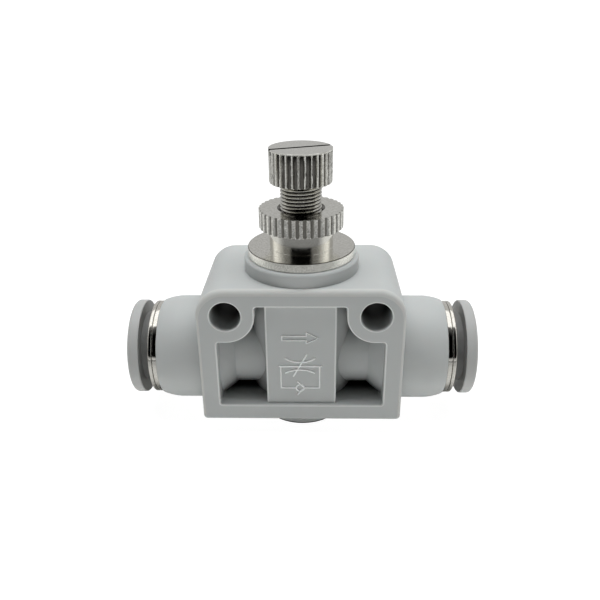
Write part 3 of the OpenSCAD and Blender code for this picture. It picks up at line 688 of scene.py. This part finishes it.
needleForm = {
    "tipRadius": 0.35, "tipRound": 0.1, "shankRadius": 1.75, "taperLength": 5.2,
    "landRadius": 2.37, "landHalf": 1.178, "landRound": 0.1,
    "ringGrooveRadius": 1.505, "ringGrooveHalf": 0.628, "reliefRadius": 2.1,
    "threadRise": 5.205, "stemRadius": 2.2, "seatGap": 0.02,
    "pitch": 0.5, "pitchGap": 0.01, "crestRadius": 2.93, "rootRadius": 2.66, "rootDepth": 0.08,
    "turnSteps": 48, "flat": 0.06}


def threadSolid(f, low, high):
    bm = bmesh.new()
    pitch, root, crest, buried = f["pitch"], f["rootRadius"], f["crestRadius"], f["rootDepth"]
    rise, start, flat = pitch / 2 - f["pitchGap"], low + pitch / 2, f["flat"] / 2
    ridge = [
        (root - buried, start - rise, 0), (root, start - rise, 0),
        (root + (crest - root), start - flat, 0), (root + (crest - root), start + flat, 0),
        (root, start + rise, 0), (root - buried, start + rise, 0)]
    roundedFace(bm, ridge, lambda across, up: (across, 0, up))
    turns = int((high - low - pitch) / pitch * f["turnSteps"]) / f["turnSteps"]
    bmesh.ops.spin(bm, geom=bm.verts[:] + bm.edges[:] + bm.faces[:], cent=(0, 0, 0),
                   axis=(0, 0, 1), dvec=(0, 0, pitch / f["turnSteps"]),
                   angle=math.tau * turns, steps=round(turns * f["turnSteps"]), use_merge=False)
    return makeSolid(bm, "thread", [threadNickel])


def makeNeedle(f):
    low, high = extent("needle")
    ringZ = middle("needle_o_ring")
    knobLow = extent("adjusting_knob")[0].z
    threadLow, stemLow = ringZ + f["threadRise"], knobLow + f["seatGap"]
    land, landHalf = f["landRadius"], f["landHalf"]
    shank, groove = f["shankRadius"], f["ringGrooveRadius"]
    grooveHalf, root, stem = f["ringGrooveHalf"], f["rootRadius"], f["stemRadius"]
    outline = [
        (0, low.z, 0), (f["tipRadius"], low.z, f["tipRound"]),
        (shank, low.z + f["taperLength"], 0), (shank, ringZ - landHalf, 0),
        (land, ringZ - landHalf, f["landRound"]), (land, ringZ - grooveHalf, 0),
        (groove, ringZ - grooveHalf, 0), (groove, ringZ + grooveHalf, 0),
        (land, ringZ + grooveHalf, 0), (land, ringZ + landHalf, f["landRound"]),
        (f["reliefRadius"], ringZ + landHalf, 0), (f["reliefRadius"], threadLow, 0),
        (root, threadLow, 0), (root, stemLow, 0), (stem, stemLow, 0), (stem, high.z, 0),
        (0, high.z, 0)]
    needle = makeSolid(lathe(outline, 96), "needleStem", [threadNickel])
    combine(needle, threadSolid(f, threadLow, knobLow), "UNION")
    return finishPiece(needle, "knob", ["needle"], sharp=40)


makeNeedle(needleForm)
print("needle made")


# knurled knob and lock nut

knobForm = {
    "radius": 4.41, "ridges": 31, "depth": 0.42, "topRound": 0.09, "lowRound": 0.3, "rings": 12,
    "cut": (0, 0.06, 0.6, 0.96, 1, 0.95, 1, 0.96, 0.6, 0.06), "runOut": (0.46, 0.30, 0.20),
    "boreRadius": 2.23, "spigotGap": 0.03, "slotWidth": 0.62, "slotDepth": 0.8, "slotTurn": 18,
    "cutterLength": 12, "cutterHeight": 3}
nutForm = {
    "radius": 6.01, "ridges": 36, "depth": 0.27, "topRound": 0.07, "lowRound": 0.15, "rings": 8,
    "cut": (0, 0, 0, 0.05, 0.45, 0.95, 1, 0.95, 0.5, 0.08), "runOut": (-0.1, -0.2, -0.3),
    "boreRadius": 2.98, "sink": 0.42}
knurl = {
    "start": 0.05, "runOutShare": 0.6, "beyond": 1, "trimGap": 0.02, "flatNormal": 0.9,
    "dentDepth": 0.02, "dentsAround": 6, "dentsUp": 0.8, "dentScale": 1.3}


def dent(turn, height):  # how far handling has worn the metal there
    around = knurl["dentsAround"]
    place = Vector((around * math.cos(turn), around * math.sin(turn), height * knurl["dentsUp"]))
    return abs(knurl["dentDepth"] * noise.noise(place * knurl["dentScale"]))


def knurled(f, low, high, name, finish):
    # a bar whose grooves run out just under its top face, trimmed to a disc with softened rims
    bm = bmesh.new()
    parts = len(f["cut"])
    late, halfway, end = f["runOut"]
    first, below = low + knurl["start"], low - knurl["beyond"]
    heights = [first + (high - late - first) * ring / f["rings"] for ring in range(f["rings"] + 1)]
    rings = [(below, 1)] + [(height, 1) for height in heights]
    rings += [(high - halfway, knurl["runOutShare"]), (high - end, 0),
              (high + knurl["beyond"], 0)]
    bmesh.ops.create_circle(bm, cap_ends=True, segments=f["ridges"] * parts,
                            radius=f["radius"], matrix=Matrix.Translation((0, 0, below)))
    top = bm.faces[:][0]
    for height, share in rings:
        if height > below:
            around = [] if len(bm.faces) == 1 else list(top.edges)
            raised = bmesh.ops.extrude_face_region(bm, geom=[top] + around)["geom"]
            top = [face for face in raised if isinstance(face, bmesh.types.BMFace)][0]
        for vert in top.verts:
            turn = math.atan2(vert.co.y, vert.co.x) % math.tau
            step = round(turn / math.tau * f["ridges"] * parts)
            reach = f["radius"] - f["depth"] * f["cut"][step % parts] * share
            reach -= dent(turn, height)
            vert.co = (reach * math.cos(turn), reach * math.sin(turn), height)
    bar = makeSolid(bm, name, [turnedNickel, finish, boreShadeNickel])
    for face in bar.data.polygons:           # the side has the second finish: a lighter copy as painted highlight, grooves with painted shade
        face.material_index = int(abs(face.normal.z) < knurl["flatNormal"])
    wide = f["radius"] + knurl["trimGap"]
    disc = [(0, low, 0), (wide, low, f["lowRound"]), (wide, high, f["topRound"]), (0, high, 0)]
    combine(bar, makeSolid(lathe(disc, 192), "trim", [turnedNickel]), "INTERSECT")
    return bar


def makeKnob(f):
    low, high = extent("adjusting_knob")
    knob = knurled(f, low.z, high.z, "adjustingKnob", knobNickel)
    spigot = extent("needle")[1].z + f["spigotGap"]
    below, wide = low.z - knurl["beyond"], f["boreRadius"]
    bore = lathe([(0, below, 0), (wide, below, 0), (wide, spigot, 0), (0, spigot, 0)], 64)
    combine(knob, makeSolid(bore, "knobBore", [turnedNickel]), "DIFFERENCE")
    slot = bmesh.new()
    size = Vector((f["cutterLength"], f["slotWidth"], f["cutterHeight"]))
    place = (Matrix.Translation((0, 0, high.z - f["slotDepth"] + size.z / 2))
             @ Matrix.Rotation(math.radians(f["slotTurn"]), 4, "Z")
             @ Matrix.Diagonal((*size, 1)))
    bmesh.ops.create_cube(slot, size=1, matrix=place)
    combine(knob, makeSolid(slot, "knobSlot", [boreShadeNickel]), "DIFFERENCE")
    return finishPiece(knob, "knob", ["adjusting_knob"], sharp=30)


def makeNut(f):
    low, high = extent("lock_nut")
    nut = knurled(f, low.z, high.z, "lockNut", nutNickel)
    below, wide, sink = low.z - knurl["beyond"], f["boreRadius"], f["sink"]
    bore = lathe([(0, below, 0), (wide, below, 0), (wide, high.z - sink, 0),
                  (wide + 2 * sink, high.z + sink, 0), (0, high.z + sink, 0)], 96)
    combine(nut, makeSolid(bore, "nutBore", [boreShadeNickel]), "DIFFERENCE")
    return finishPiece(nut, "nut", ["lock_nut"], sharp=30)


makeKnob(knobForm)
makeNut(nutForm)
print("knob and lock nut made")


# tube ports: release collars and the two metal rings

portForm = {
    "tube": 4.1, "neck": 5.2, "neckFillet": 0.12, "disc": 7.135, "discIn": 23.87, "face": 25.5,
    "discEdge": 0.5, "backEdge": 0.18, "leadIn": 0.5, "leadRound": 0.15,
    "nose": 18.48, "noseRadius": 4.65, "bead": 5.5, "beadStart": 0.5, "beadEnd": 0.75,
    "ringIn": 5.28, "ringOut": 6.0, "ringStart": 19.33, "ringEnd": 22.53, "ringRound": 0.25,
    "ringLip": 0.15, "seam": 21.9, "seamRound": 0.16, "flange": 7.01,
    "sleeveIn": 6.03, "sleeveOut": 6.42, "sleeveStart": 17.7, "mouth": 21.21, "mouthRound": 0.1}


def makeCollar(f, side, name):
    nose, face, tube, back = f["nose"], f["face"], f["tube"], f["discIn"]
    outline = [
        (tube, nose, 0), (f["noseRadius"], nose, 0), (f["bead"], nose + f["beadStart"], 0),
        (f["bead"], nose + f["beadEnd"], 0), (f["neck"], nose + f["beadEnd"], 0),
        (f["neck"], back, f["neckFillet"]), (f["disc"], back, f["backEdge"]),
        (f["disc"], face, f["discEdge"]), (tube + f["leadIn"], face, f["leadRound"]),
        (tube, face - f["leadIn"], 0)]
    paint = [collarPlastic, collarShade]
    collar = makeSolid(toPort(lathe(outline, 144), side), name + "ReleaseCollar", paint)
    for each in collar.data.polygons:        # the side turned to the rings is painted darker: painted shade
        each.material_index = int(abs(each.center.x) < back + near)
    finishPiece(collar, name + "_collar", [name + "_release_collar"])


def makeRings(f, side, name):
    flange, seam, rounded = f["flange"], f["seam"], f["seamRound"]
    guide = [
        (f["ringIn"], f["ringStart"], 0), (f["ringOut"], f["ringStart"], 0),
        (f["ringOut"], seam + near, 0), (flange, seam + near, rounded),
        (flange, f["ringEnd"], f["ringRound"]), (f["ringIn"], f["ringEnd"], f["ringLip"])]
    sleeve = [
        (f["sleeveIn"], f["sleeveStart"], 0), (f["sleeveOut"], f["sleeveStart"], 0),
        (f["sleeveOut"], f["mouth"], 0), (flange, f["mouth"], f["mouthRound"]),
        (flange, seam - near, rounded), (f["sleeveIn"], seam - near, 0)]
    rings = ((guide, "GuideRing", "_guide_ring"), (sleeve, "OuterRing", "_outer_ring"))
    for outline, piece, node in rings:
        ring = makeSolid(toPort(lathe(outline, 144), side), name + piece, [ringNickel])
        finishPiece(ring, "root", [name + node])


for side, name in ((-1, "left"), (1, "right")):
    makeCollar(portForm, side, name)
    makeRings(portForm, side, name)
print("tube ports made")


# the inner CAD pieces keep their shapes

innerFinish = {
    "guide_o_ring": sealRubber, "check_seal": sealRubber, "needle_o_ring": sealRubber,
    "left_lock_claw": springSheet, "left_seal_spacer": sealRubber,
    "left_tube_seal": sealRubber, "right_lock_claw": springSheet,
    "right_seal_spacer": sealRubber, "right_tube_seal": sealRubber}
for node, material in innerFinish.items():
    for held in frame["nodes"][node].material_slots:
        held.material = material
print("inner pieces finished")


# studio

studio = {
    "floor": (0.90, 0.90, 0.89, 1), "floorSize": 20.0, "floorLight": 0.39, "floorGlow": 1.15,
    "glowShare": 0.75, "shadowReach": 0.12, "mirrorFloor": (0.87, 0.865, 0.85, 1),
    "paintedReflectionBands": [(0.0, 0.5), (0.57, 0.5), (0.64, 0.2), (0.76, 0.2), (0.88, 0.87)],
    "mirrorFront": (-0.04, 0.0),
    "overhead": {"place": (0.025, 0.02, 0.30), "size": (0.42, 0.17), "power": 1.06,
                 "colour": (0.985, 1.0, 1.01)}}
room = {
    "low": 0.02, "high": 0.25, "behind": (-0.6, 0.35), "sides": (0.5, 0.8),
    "box": (0.74, 0.8), "boxFront": (-0.25, -0.18), "raised": (0.06, 0.2),
    "corners": (0.24, 0.44), "mirrorHigh": 0.6, "mirrorSides": 1.05, "mirrorTop": 1.45,
    "mirrorCorners": 0.3}


def floorPaint(s):
    material, m = newMaterial("paleFloor")
    rays = ("Is Camera Ray", "Is Glossy Ray")
    seen, mirrored = (m.node("ShaderNodeLightPath", None, None, ray) for ray in rays)
    place = m.node("ShaderNodeTexCoord", None, None, "Object")
    away = m.node("ShaderNodeVectorMath", {"operation": "LENGTH"}, {0: place}, 1)
    reach = s["shadowReach"]
    share = m.fade(away, reach / 2, reach, low=s["glowShare"])
    # painted reflection: polished metal sees the floor in front of the valve in bands, darker near
    # the valve as painted shadow
    y, = m.split(place, "Y")
    front = m.fade(y, *s["mirrorFront"], low=1.0, high=0.0)
    tones = m.node("ShaderNodeValToRGB", {"stops": s["paintedReflectionBands"]}, {0: away * (1 / reach)})
    colour = m.blend(mirrored, s["floor"], m.blend(front, s["mirrorFloor"], tones))
    paint = m.node("ShaderNodeBsdfDiffuse", None, {"Color": colour})
    lit = m.node("ShaderNodeEmission", None, {
        "Color": s["floor"], "Strength": (1 - mirrored) * s["floorLight"]})
    table = m.node("ShaderNodeAddShader", None, {0: paint, 1: lit})
    glow = m.node("ShaderNodeEmission", None, {
        "Color": (1, 1, 1, 1), "Strength": s["floorGlow"]})
    mixed = m.node("ShaderNodeMixShader", None, {0: seen * share, 1: table, 2: glow})
    m.node("ShaderNodeOutputMaterial", None, {"Surface": mixed})
    return material


def makeFloor(s):
    bm = bmesh.new()
    bmesh.ops.create_grid(bm, x_segments=1, y_segments=1, size=s["floorSize"] / 2)
    mesh = bpy.data.meshes.new("studioFloor")
    bm.to_mesh(mesh)
    bm.free()
    floor = bpy.data.objects.new("studioFloor", mesh)
    everything.link(floor)
    mesh.materials.append(floorPaint(s))


def makeWorld(r):
    world = bpy.data.worlds.new("studioWorld")
    bpy.context.scene.world = world
    world.use_nodes = True
    w = Recipe(world.node_tree)
    x, y, z = w.split(w.node("ShaderNodeTexCoord", None, None, "Generated"))
    # the room is dark on the camera's side, which polished metal shows as black bands
    behind = w.softFade(y, *r["behind"])
    side = w.softFade(x * x, *r["sides"])
    light = behind * (r["high"] - r["low"]) + r["low"]
    # tops mirror a light box from the front, and the room's corners from behind
    box = w.fade(z, *r["box"]) * w.fade(y, *r["boxFront"])
    corner = w.softFade(z, *r["raised"]) * w.softFade(x * x, *r["corners"])
    mirror = behind * (side * r["mirrorSides"] + r["mirrorHigh"])
    mirror = mirror + (1 - behind) * corner * r["mirrorCorners"]
    mirror = mirror * (1 - box) + box * r["mirrorTop"]
    glossy = w.node("ShaderNodeLightPath", None, None, "Is Glossy Ray")
    camera = w.node("ShaderNodeLightPath", None, None, "Is Camera Ray")
    shown = w.node("ShaderNodeMix", None, {0: glossy, 2: light, 3: mirror})
    strength = w.node("ShaderNodeMix", None, {0: camera, 2: shown, 3: 1.0})
    paint = w.node("ShaderNodeBackground", None, {"Color": (1, 1, 1, 1), "Strength": strength})
    w.node("ShaderNodeOutputWorld", None, {"Surface": paint})


def makeLamp(name, o):
    lamp = bpy.data.lights.new(name, "AREA")
    lamp.shape, lamp.size, lamp.size_y, lamp.energy = "RECTANGLE", *o["size"], o["power"]
    lamp.color = o["colour"]
    box = bpy.data.objects.new(name, lamp)
    box.location, box.visible_glossy = o["place"], False
    everything.link(box)


cameraView = {"place": (2.134, -87.501, 60.260), "yaw": -1.590, "pitch": 25.769,
              "roll": -0.618, "lens": 38.816, "sensor": 36, "nearest": 0.005}


def makeCamera(c):
    camera = bpy.data.cameras.new("camera")
    camera.lens, camera.sensor_width, camera.clip_start = c["lens"], c["sensor"], c["nearest"]
    turn = (Matrix.Rotation(math.radians(-c["yaw"]), 4, "Z")
            @ Matrix.Rotation(math.radians(90 - c["pitch"]), 4, "X")
            @ Matrix.Rotation(math.radians(c["roll"]), 4, "Z"))
    eye = bpy.data.objects.new("camera", camera)
    eye.matrix_world = Matrix.Translation(Vector(c["place"]) * mm) @ turn
    everything.link(eye)
    bpy.context.scene.camera = eye


makeFloor(studio)
makeWorld(room)
makeLamp("overheadSoftbox", studio["overhead"])
makeCamera(cameraView)
bpy.context.scene.view_settings.view_transform = "Standard"
print("studio made")
